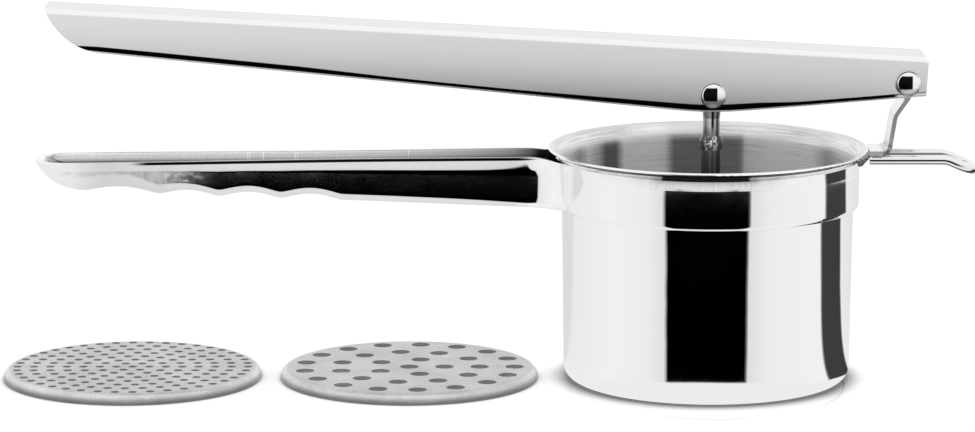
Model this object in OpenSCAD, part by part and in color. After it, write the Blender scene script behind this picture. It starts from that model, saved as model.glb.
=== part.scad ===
// Stainless steel vegetable press: a hopper hung in a collar, a channel handle on the
// collar, a channel lever that drives a plunger, and two loose perforated discs.
// The origin is on the hopper's axis, at the level that the press stands on.
// X runs along the handles, from their tips towards the hinge, and Z is up.

/* [Hopper] */
// Outside diameter of the hopper just under its flared mouth
hopper_d = 86; // [80:0.5:92]
// Height from the base to the top of the lip
hopper_h = 69; // [64:0.1:76]
// Sheet thickness of the hopper
hopper_wall = 0.9; // [0.7:0.05:1.1]
// Amount by which the radius shrinks from the mouth to the base
hopper_draft = 0.8; // [0:0.05:1]
// Outside radius of the rounded edge at the base
base_r = 4; // [3:0.25:5]
// Radius of the flared mouth, on its outer side
flare_r = 5; // [4.5:0.1:6]
// Distance that the lip stands out past the hopper's side
lip_reach = 4; // [3.5:0.05:4.6]
// Width of the ledge that carries the rim of a disc
ledge_lap = 2.5; // [1.5:0.1:4]

/* [Collar] */
// Sheet thickness of the collar
collar_wall = 0.75; // [0.7:0.05:1]
// Space between the hopper's side and the inside of the collar
collar_space = 0.7; // [0.6:0.05:1.2]
// Height of the collar's lower edge above the base
collar_z = 51.6; // [48:0.1:56]
// Outside radius of the shoulder at the collar's lower edge
shoulder_r = 1.4; // [1.1:0.1:1.4]
// Height of the flared band at the collar's top
collar_flare_h = 3.2; // [2:0.1:4]
// Distance that the collar's top edge flares outwards
collar_flare = 0.3; // [0.1:0.05:0.5]

/* [Lower handle] */
// Distance from the hopper's axis to the tip of the lower handle
handle_reach = 197.8; // [170:0.2:230]
// Sheet thickness of the lower handle
handle_wall = 1.2; // [1:0.1:1.5]
// Width over the top edges at the grip
grip_w = 20; // [17:0.1:23]
// Width over the top edges at the waist
waist_w = 16.6; // [14:0.1:19]
// Distance from the tip to the waist
waist_at = 95; // [85:1:105]
// Width over the top edges beside the collar, before the fillet
root_w = 18.4; // [16:0.1:22]
// Length of the rounded bow at the tip, seen from above
bow_l = 9; // [6:0.5:12]
// Length over which the keel rises to the tip
keel_rise_l = 14.8; // [12:0.2:22]
// Height of the top edge beside the collar, above the collar's top
root_lift = 1.3; // [0:0.05:1.4]
// Height of the top edge at the tip, below its height beside the collar
tip_drop = 1.9; // [0:0.1:4]
// Depth of the channel at the grip
grip_depth = 9; // [7:0.1:11]
// Plan radius that blends the handle's sides into the collar
root_fillet_r = 13; // [8:0.5:15]
// Ends of the finger grooves under the grip, from where the keel stops rising
groove_ends = [0, 22, 39.6, 57.6, 75.8]; // [0:0.2:90]
// Depth of a finger groove
groove_depth = 1.5; // [0.6:0.1:2.2]
// Outward roll of the top edges
edge_roll = 1; // [0.4:0.1:1.5]
// Height of the rolled part of the sides
edge_roll_h = 3.4; // [2.5:0.1:4.5]
// Outside radius of the channel's lower corners
keel_r = 2.2; // [1.6:0.1:4]

/* [Lever] */
// Width over the lever's sides
lever_w = 17.5; // [16:0.1:20]
// Sheet thickness of the lever
lever_wall = 1.2; // [1:0.05:1.4]
// Outside radius of the lever's bent corners and of its turned-in lower edges
lever_bend_r = 1.6; // [1.45:0.05:1.8]
// Length from the hinge rivet to the lever's tip
lever_l = 252.2; // [220:0.1:290]
// Length of the lever beyond the hinge rivet
lever_tail = 5.5; // [5:0.1:8]
// Height of the lever's top above the hinge rivet
lever_top = 7.9; // [6.5:0.1:10]
// Slope of the lever at rest, down towards the hinge
lever_tilt = 3.2; // [0:0.02:5]
// Depth of the sides near the plunger rivet, below the hinge rivet
lever_depth = 12; // [11:0.1:14]
// Slope of the lower edge towards the tip
edge_slope_tip = 2.5; // [1.5:0.1:2.8]
// Slope of the lower edge towards the hinge
edge_slope_hinge = 7.8; // [5:0.1:8]
// Radius of the lower edge under the plunger rivet
apex_r = 115; // [40:5:140]
// Slope of the scooped end at the tip
scoop_slope = 66; // [50:1:70]
// Radius of the scoop where it runs into the lower edge
scoop_r = 20.5; // [14:0.5:30]
// Corner radius of the lever's ends
lever_corner_r = 1.6; // [1:0.1:3]

/* [Hinge and rivets] */
// Distance from the hopper's axis to the hinge rivet
hinge_x = 57.8; // [56:0.1:62]
// Height of the hinge rivet above the lip
hinge_rise = 20.1; // [18:0.1:24]
// Drop from the hinge rivet to the plunger rivet, square to the lever
plunger_drop = 6.66; // [6:0.02:7.2]
// Diameter of a rivet's shank
rivet_d = 4.5; // [4:0.1:5]
// Diameter of a rivet's domed head
rivet_head_d = 7.8; // [6.5:0.1:8.4]
// Height of a rivet's domed head
rivet_head_h = 2; // [1.4:0.1:2.6]
// Thickness of the hinge strap
strap_t = 1.25; // [1:0.05:1.4]
// Height of the foot's upper face below the lip's top
foot_drop = 0.35; // [0.3:0.05:1]
// Distance from the hopper's axis to the corner where the strap turns up
strap_corner_x = 52.7; // [52:0.1:54.5]
// Lean of the strap's lower part away from the hopper
strap_lean = 9; // [5:0.5:12]
// Height of the kink in the strap above the foot
kink_rise = 11; // [9:0.1:13]
// Radius of the strap's bends, at the middle of its thickness
strap_bend_r = 2.2; // [1.6:0.1:2.6]
// Angle that the eye wraps round the hinge rivet
eye_wrap = 285; // [240:5:300]

/* [Bowl hook] */
// Diameter of the hook's wire
wire_d = 2.9; // [2.4:0.1:3.2]
// Distance between the hook's two legs, at their middles
hook_w = 10.9; // [9.5:0.1:12]
// Distance from the hopper's axis to the bend in the hook
hook_bend_x = 69.8; // [66:0.1:74]
// Length of the hook from its bend to its outermost point
hook_end_l = 10.4; // [9:0.1:16]
// Downward slope of the hook's end
hook_slope = 23; // [10:1:30]
// Radius of the bend in the hook, at the middle of the wire
hook_bend_r = 6; // [4:0.5:8]

/* [Plunger] */
// Distance from the hopper's axis to the plunger rivet, towards the hinge
plunger_x = 1; // [0.8:0.05:1.2]
// Gap between the plunger plate and the hopper's side, at the base
plate_gap = 1.8; // [1.7:0.05:2.4]
// Sheet thickness of the plunger plate
plate_wall = 1; // [0.8:0.05:1.2]
// Height of the plate's turned-up rim
plate_rim_h = 5; // [4:0.1:8]
// Outside radius of the plate's rounded edge
plate_edge_r = 3; // [2.6:0.1:3.4]
// Diameter of the plunger's stem
stem_d = 6; // [5.4:0.1:7]
// Diameter of the eye's shank where it meets the stem
shank_d = 5; // [4:0.1:5.3]
// Outside diameter of the eye round the plunger rivet
eye_d = 8; // [7:0.1:8.6]
// Height of the joint between shank and stem, above the lip
stem_joint_rise = 1.3; // [-8:0.1:3]
// Height of the weld bead on that joint
bead_h = 4; // [3:0.1:5]
// Distance that the weld bead stands out from the stem
bead_out = 0.5; // [0.3:0.1:0.9]
// Size of the weld fillet between stem and plate
plate_weld_w = 1.8; // [1:0.1:3]

/* [Discs] */
// Sheet thickness of the discs
disc_wall = 0.8; // [0.6:0.05:1]
// Height of the discs
disc_h = 3.2; // [2.8:0.1:4.5]
// Outside radius of a disc's turned-down edge
disc_edge_r = 2.4; // [1.8:0.1:2.5]
// Diameter of the fine disc's holes
fine_hole_d = 2.62; // [1.8:0.02:3.2]
// Distance between the fine disc's rings of holes
fine_pitch = 4.88; // [4.6:0.01:4.89]
// Diameter of the coarse disc's holes
coarse_hole_d = 5.6; // [4.5:0.1:6.3]
// Distance between the coarse disc's rings of holes
coarse_pitch = 10.4; // [9.6:0.1:11]
// Gap between the two discs where they lie
disc_gap = 5.9; // [2:0.1:20]
// Gap between the hopper and the nearer disc
disc_hopper_gap = 6.9; // [2:0.1:20]
// Distance of the discs' middles in front of the handles' centre line
disc_front = 2; // [-10:0.5:20]

/* [Fits] */
// Gap between pieces that are pressed or welded together
weld_fit = 0.05; // [0.02:0.01:0.1]
// Gap between the lower handle's end and the collar
seat_fit = 0.18; // [0.18:0.02:0.4]
// Radial play of an eye on its rivet
running_fit = 0.06; // [0.03:0.01:0.09]
// Play between the lever's sides and what swings between them
side_play = 0.35; // [0.3:0.05:0.6]
// Height of the plunger plate above the ledge at rest
seat_play = 0.3; // [0.3:0.05:0.6]
// Gap between a disc's rim and the rounded corner inside the hopper's base
disc_play = 0.2; // [0.1:0.05:0.5]

/* [Hidden] */
$fn = 96;
far = 400;

// Sheet is a little thinner in its bends, and each bend laps into the flats beside it
bend_thin = 0.01;
bend_lap = 1.2;

polished = "gainsboro";
satin = "silver";
bright = "whitesmoke";
weld_grey = "darkgray";

// Hopper: radius at the base, centre and swept angle of the flare, disc and outlet
hopper_r = hopper_d / 2;
base_side_r = hopper_r - hopper_draft;
flare_cx = hopper_r + flare_r;
lip_mid_r = flare_r + hopper_wall / 2;
flare_a = acos((lip_mid_r - lip_reach) / lip_mid_r);
flare_z = hopper_h - (flare_r + hopper_wall) * sin(flare_a);
disc_r = base_side_r - base_r - disc_play;
outlet_r = disc_r - ledge_lap;
function hopper_side(z) =
    base_side_r + hopper_draft * (z - base_r) / (flare_z - base_r);
function flare_under(r) =
    flare_z + sqrt(pow(flare_r, 2) - pow(flare_cx - r, 2));

// Collar: its top inner corner carries the hopper's flare
collar_in = hopper_r + collar_space;
collar_out = collar_in + collar_wall;
collar_flare_r = (pow(collar_flare_h, 2) + pow(collar_flare, 2)) / (2 * collar_flare);
collar_flare_a = asin(collar_flare_h / collar_flare_r);
collar_corner_r = collar_out + collar_flare_r
    - (collar_flare_r + collar_wall) * cos(collar_flare_a);
collar_top = flare_under(collar_corner_r) - weld_fit - collar_wall * sin(collar_flare_a);
collar_flare_z = collar_top - collar_flare_h;
shoulder_cx = collar_out - shoulder_r;
shoulder_cz = collar_z + shoulder_r;
function collar_side(z) =
    z < shoulder_cz
        ? shoulder_cx + sqrt(max(0, pow(shoulder_r, 2) - pow(shoulder_cz - z, 2)))
        : z < collar_flare_z
            ? collar_out
            : collar_out + collar_flare_r
                - sqrt(pow(collar_flare_r, 2) - pow(z - collar_flare_z, 2));

// The handle's end meets the shoulder along a slope that just clears its curve, and above
// the collar it follows the underside of the hopper's flare
function handle_seat(z) =
    z < shoulder_cz
        ? min(collar_out, shoulder_cx + sqrt(2) * shoulder_r - (shoulder_cz - max(z, collar_z)))
        : z < collar_top
            ? collar_side(z)
            : max(collar_side(collar_top),
                flare_cx - sqrt(pow(flare_r, 2) - pow(z - flare_z, 2)));

// Lever: its own frame has the hinge rivet at the origin and X along the lever
hinge_z = hopper_h + hinge_rise;
plunger_lx = (plunger_x - hinge_x + sin(lever_tilt) * plunger_drop) / cos(lever_tilt);
plunger_z = hinge_z - plunger_lx * sin(lever_tilt) - plunger_drop * cos(lever_tilt);
lever_inner_w = lever_w - 2 * lever_wall;
lever_mouth_w = lever_w - 2 * lever_bend_r;
eye_bore_r = rivet_d / 2 + running_fit;

// Centre of the arc in the lever's lower edge, whose lowest point at rest is under the
// plunger rivet
apex_centre = [
    plunger_lx - (apex_r - lever_depth) * tan(lever_tilt),
    apex_r - lever_depth
];

// Lower handle: the sections run from the tip to a nominal end inside the collar
root_fillet_a = 50;
handle_tip = -handle_reach;
handle_end = -collar_out * cos(asin(root_w / 2 / collar_out)) + 1.4;
fillet_l = root_fillet_r * sin(root_fillet_a);
grip_x = handle_tip + keel_rise_l;
waist_x = handle_tip + waist_at;
nose = 0.3;

// Smallest and largest plan outlines, sides and depths of the handle
function ease(t) = t <= 0 ? 0 : t >= 1 ? 1 : t * t * (3 - 2 * t);
function mix(a, b, t) = a + (b - a) * t;
root_top = collar_top + root_lift;
function handle_top(x) =
    mix(root_top - tip_drop, root_top, (x - handle_tip) / (handle_end - handle_tip));
function bow(x, inset) =
    x > handle_tip + bow_l
        ? 1
        : sqrt(max(0, 1 - pow((bow_l - x + handle_tip) / (bow_l - inset), 2)));
function root_spread(x) =
    let (run = min(fillet_l, max(0, x - handle_end + fillet_l)))
    root_fillet_r - sqrt(pow(root_fillet_r, 2) - pow(run, 2));
function plain_half_w(x) =
    x < waist_x
        ? mix(grip_w, waist_w, ease((x - grip_x) / (waist_x - grip_x))) / 2
        : mix(waist_w, root_w, ease((x - waist_x) / (handle_end - fillet_l - waist_x))) / 2;
function half_w(x, inset) =
    bow(x, inset) * (plain_half_w(x) - inset) + root_spread(x);

function keel_line(x) =
    mix(handle_top(grip_x) - grip_depth, collar_z + weld_fit,
        (x - grip_x) / (handle_end - grip_x));
groove_soft = 0.03;
grooves = len(groove_ends) - 1;
function hollow(turn) =
    turn <= 0 || turn >= 1
        ? 0
        : (sqrt(pow(sin(180 * turn), 2) + groove_soft) - sqrt(groove_soft))
            / (sqrt(1 + groove_soft) - sqrt(groove_soft));
function groove(x) =
    groove_depth * max([for (k = [1:grooves])
        hollow((x - grip_x - groove_ends[k - 1]) / (groove_ends[k] - groove_ends[k - 1]))]);
keel_power = 2.2;
function keel_z(x, inset) =
    let (rise = (grip_x - x) / (keel_rise_l - 2 * inset))
    rise <= 0
        ? keel_line(x) + groove(x) + inset
        : mix(keel_line(grip_x) + inset, handle_top(x), pow(min(rise, 0.99), keel_power));

// One half of a cross-section of the channel, from its top edge down to the keel
roll_steps = [1, 0.66, 0.33, 0];
corner_steps = [0, 22.5, 45, 67.5, 90];
keel_steps = [0.8, 0.6, 0.4, 0.2];
function half_section(x, inset) =
    let (
        w = half_w(x, inset),
        top = handle_top(x),
        keel = keel_z(x, inset),
        depth = top - keel,
        roll = edge_roll * bow(x, inset),
        roll_h = min(edge_roll_h, depth / 2),
        r = min(keel_r - inset, 0.9 * (depth - roll_h), 0.9 * (w - roll))
    )
    concat(
        [for (s = roll_steps) [w - roll + roll * s * s, top - roll_h * (1 - s)]],
        [for (a = corner_steps) [w - roll - r + r * cos(a), keel + r - r * sin(a)]],
        [for (s = keel_steps) [s * (w - roll - r), keel]]
    );
collar_reach = 16;
function onto_collar(x, y, z) =
    let (
        blend = ease((x - handle_end + collar_reach) / collar_reach),
        seat = -sqrt(pow(handle_seat(z) + seat_fit, 2) - pow(y, 2))
    )
    [x + blend * (seat - handle_end), y, z];
function section(x, inset) =
    let (half = half_section(x, inset), n = len(half) - 1)
    concat(
        [for (p = half) onto_collar(x, -p[0], p[1])],
        [onto_collar(x, 0, half[n][1])],
        [for (i = [n:-1:0]) onto_collar(x, half[i][0], half[i][1])]
    );

// Positions of the sections along the handle, close together where the shape turns
groove_l = groove_ends[grooves];
handle_runs = concat(
    [nose, 1, 2.2, 4, 6.5, 9.5, 12.5],
    [for (k = [1:grooves], i = [0:5])
        keel_rise_l + mix(groove_ends[k - 1], groove_ends[k], i / 6)],
    [for (i = [0:2])
        mix(keel_rise_l + groove_l, handle_reach + handle_end - collar_reach, i / 2)],
    [for (i = [1:8]) handle_reach + handle_end - collar_reach + i * collar_reach / 8]
);
inner_start = nose + 2 * handle_wall;
inner_reach = 30;
function inner_run(run) =
    run > inner_reach ? run : mix(inner_start, inner_reach, (run - nose) / (inner_reach - nose));

// Hinge strap: the middle line of its sheet, from the foot to the eye
foot_top = hopper_h - foot_drop;
foot_z = foot_top - strap_t / 2;
foot_start = hopper_r + lip_reach + 0.15;
eye_mid_r = eye_bore_r + strap_t / 2;
kink_x = strap_corner_x + kink_rise * tan(strap_lean);
kink_z = foot_z + kink_rise;
hinge_from_kink = norm([hinge_x - kink_x, hinge_z - kink_z]);
upper_heading = atan2(hinge_z - kink_z, hinge_x - kink_x) - asin(eye_mid_r / hinge_from_kink);
upper_l = sqrt(pow(hinge_from_kink, 2) - pow(eye_mid_r, 2));
strap_w = lever_mouth_w - 2 * side_play;

// Bowl hook: the wire lies against the underside of the foot
wire_z = foot_top - strap_t - wire_d / 2;
wire_start = foot_start;

// Plunger
plate_r = base_side_r - hopper_wall - plate_gap;
plate_z = hopper_wall + seat_play;
stem_joint_z = hopper_h + stem_joint_rise;

// Discs: middles, and the number of holes in each ring from the middle outwards
coarse_x = -(hopper_r + disc_hopper_gap + disc_r);
fine_x = coarse_x - 2 * disc_r - disc_gap;
fine_rings = [6, 12, 18, 24, 30, 36, 42];
coarse_rings = [5, 11, 17];

// Bend in a sheet: part of a flat ring between two angles
module arc_band(centre, r_in, r_out, from, to, lap_from = bend_lap, lap_to = bend_lap) {
    steps = ceil((to - from) / 60);
    translate(centre)
        intersection() {
            difference() {
                circle(r_out - bend_thin);
                circle(r_in + bend_thin);
            }
            polygon(concat(
                [[0, 0]],
                [for (i = [0:steps])
                    let (a = mix(from - lap_from, to + lap_to, i / steps))
                    2 * r_out * [cos(a), sin(a)]]
            ));
        }
}

// Straight bar with its middle line starting at a point and running along a heading
module bar(start, heading, length, thickness) {
    translate(start)
        rotate(heading)
            translate([0, -thickness / 2])
                square([length, thickness]);
}

// Everything above an edge that falls to the right, turns along an arc and runs on
module above_bend(centre, r, fall, rise, spare = 0) {
    translate(centre) {
        rotate(-fall)
            translate([-far, -r])
                square(far);
        rotate(rise)
            translate([0, -r - spare])
                square(far);
        circle(r, $fn = 360);
    }
}

// Outline in X and Z, given a width along Y about the middle plane
module across(width) {
    rotate([90, 0, 0])
        translate([0, 0, -width / 2])
            linear_extrude(width)
                children();
}

// Place a piece of the lever where the lever rests
module on_lever() {
    translate([hinge_x, 0, hinge_z])
        rotate([0, lever_tilt, 0])
            children();
}

module hopper_section() {
    translate([outlet_r, 0])
        square([base_side_r - base_r - outlet_r, hopper_wall]);
    arc_band([base_side_r - base_r, base_r], base_r - hopper_wall, base_r, -90, 0);
    polygon([
        [base_side_r - hopper_wall, base_r],
        [base_side_r, base_r],
        [hopper_r, flare_z],
        [hopper_r - hopper_wall, flare_z]
    ]);
    arc_band([flare_cx, flare_z], flare_r, flare_r + hopper_wall, 180 - flare_a, 180);
    translate([flare_cx - lip_mid_r * cos(flare_a), flare_z + lip_mid_r * sin(flare_a)])
        circle(hopper_wall / 2);
}

module hopper() {
    color(polished)
        rotate_extrude()
            hopper_section();
}

module collar_section() {
    inner = hopper_side(collar_z) + weld_fit;
    translate([inner, collar_z])
        square([shoulder_cx - inner, collar_wall]);
    arc_band([shoulder_cx, shoulder_cz], shoulder_r - collar_wall, shoulder_r, -90, 0);
    translate([collar_in, shoulder_cz])
        square([collar_wall, collar_flare_z - shoulder_cz]);
    arc_band(
        [collar_out + collar_flare_r, collar_flare_z],
        collar_flare_r, collar_flare_r + collar_wall,
        180 - collar_flare_a, 180, 0
    );
}

module collar_ring() {
    color(polished)
        rotate_extrude()
            collar_section();
}

// Sheet channel with a bow-shaped tip, finger grooves and sides that spread on the collar
module lower_handle() {
    outer = [for (run = handle_runs) section(handle_tip + run, 0)];
    inner = [for (run = handle_runs) section(handle_tip + inner_run(run), handle_wall)];
    count = len(handle_runs);
    row = len(outer[0]);
    block = count * row;
    skin = [for (k = [0:count - 2], i = [0:row - 2]) k * row + i];
    outside = [for (a = skin) each [[a, a + 1, a + row], [a + 1, a + row + 1, a + row]]];
    inside = [for (f = outside) [block + f[0], block + f[2], block + f[1]]];
    near_edge = [for (k = [0:count - 2])
        let (a = k * row, b = block + a)
        each [[a, a + row, b], [b, a + row, b + row]]];
    far_edge = [for (k = [0:count - 2])
        let (a = k * row + row - 1, b = block + a)
        each [[a, b, a + row], [b, b + row, a + row]]];
    last = (count - 1) * row;
    root_face = [for (i = [0:row - 2])
        let (a = last + i, b = block + a)
        each [[a, a + 1, b], [b, a + 1, b + 1]]];
    tip_outside = [for (i = [1:row - 2]) [0, i + 1, i]];
    tip_inside = [for (i = [1:row - 2]) [block, block + i, block + i + 1]];
    tip_top = [[0, block, row - 1], [block, block + row - 1, row - 1]];
    color(polished)
        polyhedron(
            points = concat([for (s = outer) each s], [for (s = inner) each s]),
            faces = concat(
                outside, inside, near_edge, far_edge,
                root_face, tip_outside, tip_inside, tip_top
            ),
            convexity = 6
        );
}

// Fillet weld on the floor of the handle's channel, along the collar
module handle_weld() {
    weld_w = 1.6;
    weld_a = 8;
    floor_z = keel_z(-collar_out, handle_wall);
    color(weld_grey)
        rotate([0, 0, 180 - weld_a])
            rotate_extrude(angle = 2 * weld_a)
                translate([collar_out, floor_z])
                    intersection() {
                        circle(weld_w);
                        square(weld_w);
                    }
}

module strap_outline() {
    lower_heading = 90 - strap_lean;
    corner_cut = strap_bend_r * tan(lower_heading / 2);
    kink_turn = lower_heading - upper_heading;
    kink_cut = 2 * strap_bend_r * tan(kink_turn / 2);
    foot_l = strap_corner_x - foot_start - corner_cut;
    lower_start = [strap_corner_x, foot_z]
        + corner_cut * [cos(lower_heading), sin(lower_heading)];
    lower_l = norm([kink_x, kink_z] - lower_start) - kink_cut;
    upper_start = [kink_x, kink_z] + kink_cut * [cos(upper_heading), sin(upper_heading)];
    kink_centre = upper_start
        + 2 * strap_bend_r * [sin(upper_heading), -cos(upper_heading)];
    eye_start = upper_heading - 90;

    bar([foot_start, foot_z], 0, foot_l, strap_t);
    arc_band(
        [strap_corner_x - corner_cut, foot_z + strap_bend_r],
        strap_bend_r - strap_t / 2, strap_bend_r + strap_t / 2,
        -90, lower_heading - 90
    );
    bar(lower_start, lower_heading, lower_l, strap_t);
    arc_band(
        kink_centre,
        2 * strap_bend_r - strap_t / 2, 2 * strap_bend_r + strap_t / 2,
        upper_heading + 90, lower_heading + 90
    );
    bar(upper_start, upper_heading, upper_l - kink_cut, strap_t);
    arc_band(
        [hinge_x, hinge_z],
        eye_bore_r - bend_thin, eye_bore_r + strap_t,
        eye_start, eye_start + eye_wrap, bend_lap, 0
    );
}

// Strap bent up from a foot beside the lip, with its top end rolled into an eye
module hinge_bracket() {
    color(bright)
        across(strap_w)
            strap_outline();
}

// Fillet weld under the lip, from the top of the collar's side out to the foot
module hinge_weld() {
    bead_a = asin(strap_w / 2 / foot_start);
    bead_out = foot_start + 0.5;
    under = foot_top - strap_t;
    color(weld_grey)
        rotate([0, 0, -bead_a])
            rotate_extrude(angle = 2 * bead_a)
                polygon([
                    [collar_out - 0.1, collar_top - 2.2],
                    [collar_out + 1, collar_top - 1.9],
                    [bead_out - 0.6, under - 1.3],
                    [bead_out, under - 0.6],
                    [bead_out, under + 0.12],
                    [collar_out + 0.1, collar_top - 0.35]
                ]);
}

// Bend in the hook's wire, from the X direction round towards Y
module wire_bend(r, angle) {
    rotate([0, 0, -90 - bend_lap])
        rotate_extrude(angle = angle + 2 * bend_lap)
            translate([r, 0])
                circle(d = wire_d - 2 * bend_thin, $fn = 48);
}

module hook_leg(side) {
    bend_cut = hook_bend_r * tan(hook_slope / 2);
    loop_at = hook_end_l - wire_d / 2 - hook_w / 2;
    translate([wire_start, side * hook_w / 2, wire_z])
        rotate([0, 90, 0])
            cylinder(h = hook_bend_x - bend_cut - wire_start, d = wire_d, $fn = 48);
    translate([hook_bend_x - bend_cut, side * hook_w / 2, wire_z - hook_bend_r])
        rotate([-90, 0, 0])
            wire_bend(hook_bend_r, hook_slope);
    translate([hook_bend_x, side * hook_w / 2, wire_z])
        rotate([0, 90 + hook_slope, 0])
            translate([0, 0, bend_cut])
                cylinder(h = loop_at - bend_cut, d = wire_d, $fn = 48);
}

// Wire bent into a loop that dips at its end, to catch the rim of a bowl
module bowl_hook() {
    color(bright) {
        hook_leg(-1);
        hook_leg(1);
        translate([hook_bend_x, 0, wire_z])
            rotate([0, hook_slope, 0])
                translate([hook_end_l - wire_d / 2 - hook_w / 2, 0, 0])
                    wire_bend(hook_w / 2, 180);
    }
}

// Short beads along the outer sides of the legs, up against the foot
module hook_welds() {
    bead_r = 0.6;
    bead_l = 3;
    bead_y = hook_w / 2 + wire_d / 2 - bead_r;
    color(weld_grey)
        for (side = [-1, 1])
            translate([wire_start + bead_r, side * bead_y, foot_top - strap_t - bead_r / 2])
                rotate([0, 90, 0])
                    cylinder(h = bead_l, r = bead_r, $fn = 32);
}

// Lower edge of the lever: a long slope, an arc under the plunger rivet, a short slope
module above_lever_edge(inset) {
    above_bend(apex_centre, apex_r - inset, edge_slope_tip, edge_slope_hinge);
}

// Side view of the lever, with the scooped tip and the rounded tail
module lever_outline() {
    turn = scoop_slope - edge_slope_tip;
    on_scoop = scoop_r + cos(scoop_slope) * lever_top - sin(scoop_slope) * lever_l;
    on_edge = scoop_r - apex_r
        + cos(edge_slope_tip) * apex_centre[1] + sin(edge_slope_tip) * apex_centre[0];
    scoop_centre = [
        on_scoop * cos(edge_slope_tip) - on_edge * cos(scoop_slope),
        on_edge * sin(scoop_slope) - on_scoop * sin(edge_slope_tip)
    ] / sin(turn);
    intersection() {
        above_bend(scoop_centre, scoop_r, scoop_slope, -edge_slope_tip, 1);
        union() {
            translate([-lever_l, -far])
                square([lever_l + lever_tail, far + lever_top - lever_corner_r]);
            translate([-lever_l, 0])
                square([lever_l + lever_tail - lever_corner_r, lever_top]);
            translate([lever_tail - lever_corner_r, lever_top - lever_corner_r])
                circle(lever_corner_r);
        }
    }
}

// Cross-section of the lever without its turned-in edges, with X across and Y up
module lever_section() {
    half = lever_w / 2;
    for (side = [0, 1])
        mirror([side, 0]) {
            arc_band(
                [half - lever_bend_r, lever_top - lever_bend_r],
                lever_bend_r - lever_wall, lever_bend_r, 0, 90
            );
            translate([half - lever_wall, -far])
                square([lever_wall, far + lever_top - lever_bend_r]);
        }
    translate([-half + lever_bend_r, lever_top - lever_wall])
        square([lever_w - 2 * lever_bend_r, lever_wall]);
}

// Turned-in edge of one side, with X as the distance from the apex arc's centre
module hem_section(thin, short = 0) {
    arc_band(
        [apex_r - lever_bend_r, lever_w / 2 - lever_bend_r],
        lever_bend_r - lever_wall + thin, lever_bend_r - thin, 0, 90, -short
    );
}

module lever_hem() {
    lap = 0.5;
    translate([apex_centre[0], 0, apex_centre[1]])
        rotate([90, 0, 0]) {
            rotate([0, 0, -90 - edge_slope_tip - lap])
                rotate_extrude(angle = edge_slope_tip + edge_slope_hinge + 2 * lap, $fn = 360)
                    hem_section(bend_thin, 0.5);
            rotate([0, 0, -90 - edge_slope_tip])
                rotate([90, 0, 0])
                    linear_extrude(far)
                        hem_section(0);
            rotate([0, 0, -90 + edge_slope_hinge])
                rotate([90, 0, 0])
                    translate([0, 0, -far])
                        linear_extrude(far)
                            hem_section(0);
        }
}

// Bent sheet channel, open below, with its lower edges turned in
module lever() {
    color(satin)
        on_lever()
            difference() {
                intersection() {
                    across(2 * lever_w)
                        lever_outline();
                    union() {
                        intersection() {
                            translate([-lever_l, 0, 0])
                                rotate([90, 0, 90])
                                    linear_extrude(lever_l + lever_tail)
                                        lever_section();
                            across(2 * lever_w)
                                above_lever_edge(lever_bend_r);
                        }
                        lever_hem();
                        mirror([0, 1, 0])
                            lever_hem();
                    }
                }
                rivet_hole(0, 0);
                rivet_hole(plunger_lx, -plunger_drop);
            }
}

module rivet_hole(x, z) {
    translate([x, 0, z])
        rotate([90, 0, 0])
            cylinder(h = 2 * lever_w, d = rivet_d, center = true);
}

module rivet_head() {
    r = (pow(rivet_head_d / 2, 2) + pow(rivet_head_h, 2)) / (2 * rivet_head_h);
    rotate_extrude()
        intersection() {
            translate([0, rivet_head_h - r])
                circle(r);
            square([rivet_head_d, rivet_head_h]);
        }
}

// Rivet with a domed head on each side of the lever
module rivet() {
    rotate([90, 0, 0]) {
        cylinder(h = lever_w, d = rivet_d, center = true);
        for (end = [0, 1])
            mirror([0, 0, end])
                translate([0, 0, lever_w / 2])
                    rivet_head();
    }
}

module hinge_rivet() {
    color(bright)
        on_lever()
            rivet();
}

module plunger_rivet() {
    color(bright)
        on_lever()
            translate([plunger_lx, 0, -plunger_drop])
                rivet();
}

// Eye on the plunger rivet, with a shank that tapers down to the stem
module plunger_eye() {
    taper_l = 8;
    taper_top_r = 0.42 * eye_d;
    color(bright)
        translate([plunger_x, 0, plunger_z])
            difference() {
                union() {
                    rotate([90, 0, 0])
                        cylinder(h = strap_w, d = eye_d, center = true);
                    rotate_extrude()
                        polygon([
                            [0, stem_joint_z - plunger_z],
                            [shank_d / 2, stem_joint_z - plunger_z],
                            [shank_d / 2, -taper_l],
                            [taper_top_r, 0],
                            [0, 0]
                        ]);
                }
                rotate([90, 0, 0])
                    cylinder(h = 2 * lever_w, r = eye_bore_r, center = true);
            }
}

module plunger_stem() {
    color(bright)
        translate([plunger_x, 0, plate_z + plate_wall])
            cylinder(h = stem_joint_z - plate_z - plate_wall, d = stem_d);
}

// Bead round the joint between shank and stem
module stem_weld() {
    top_r = shank_d / 2 + bead_out / 2;
    low_r = stem_d / 2 + bead_out / 2;
    mid_r = stem_d / 2 + bead_out;
    color(weld_grey)
        translate([plunger_x, 0, stem_joint_z])
            rotate_extrude()
                difference() {
                    polygon([
                        [0, -bead_h / 2], [low_r, -bead_h / 2], [mid_r, -bead_h / 4],
                        [mid_r, bead_h / 8], [top_r, bead_h / 2], [0, bead_h / 2]
                    ]);
                    translate([0, -bead_h])
                        square([stem_d / 2, bead_h]);
                    square([shank_d / 2, bead_h]);
                }
}

// Dished plate with a turned-up rim
module plunger_plate() {
    color(satin)
        translate([plunger_x, 0, plate_z])
            rotate_extrude() {
                square([plate_r - plate_edge_r, plate_wall]);
                arc_band(
                    [plate_r - plate_edge_r, plate_edge_r],
                    plate_edge_r - plate_wall, plate_edge_r, -90, 0
                );
                translate([plate_r - plate_wall, plate_edge_r])
                    square([plate_wall, plate_rim_h - plate_edge_r]);
            }
}

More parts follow.
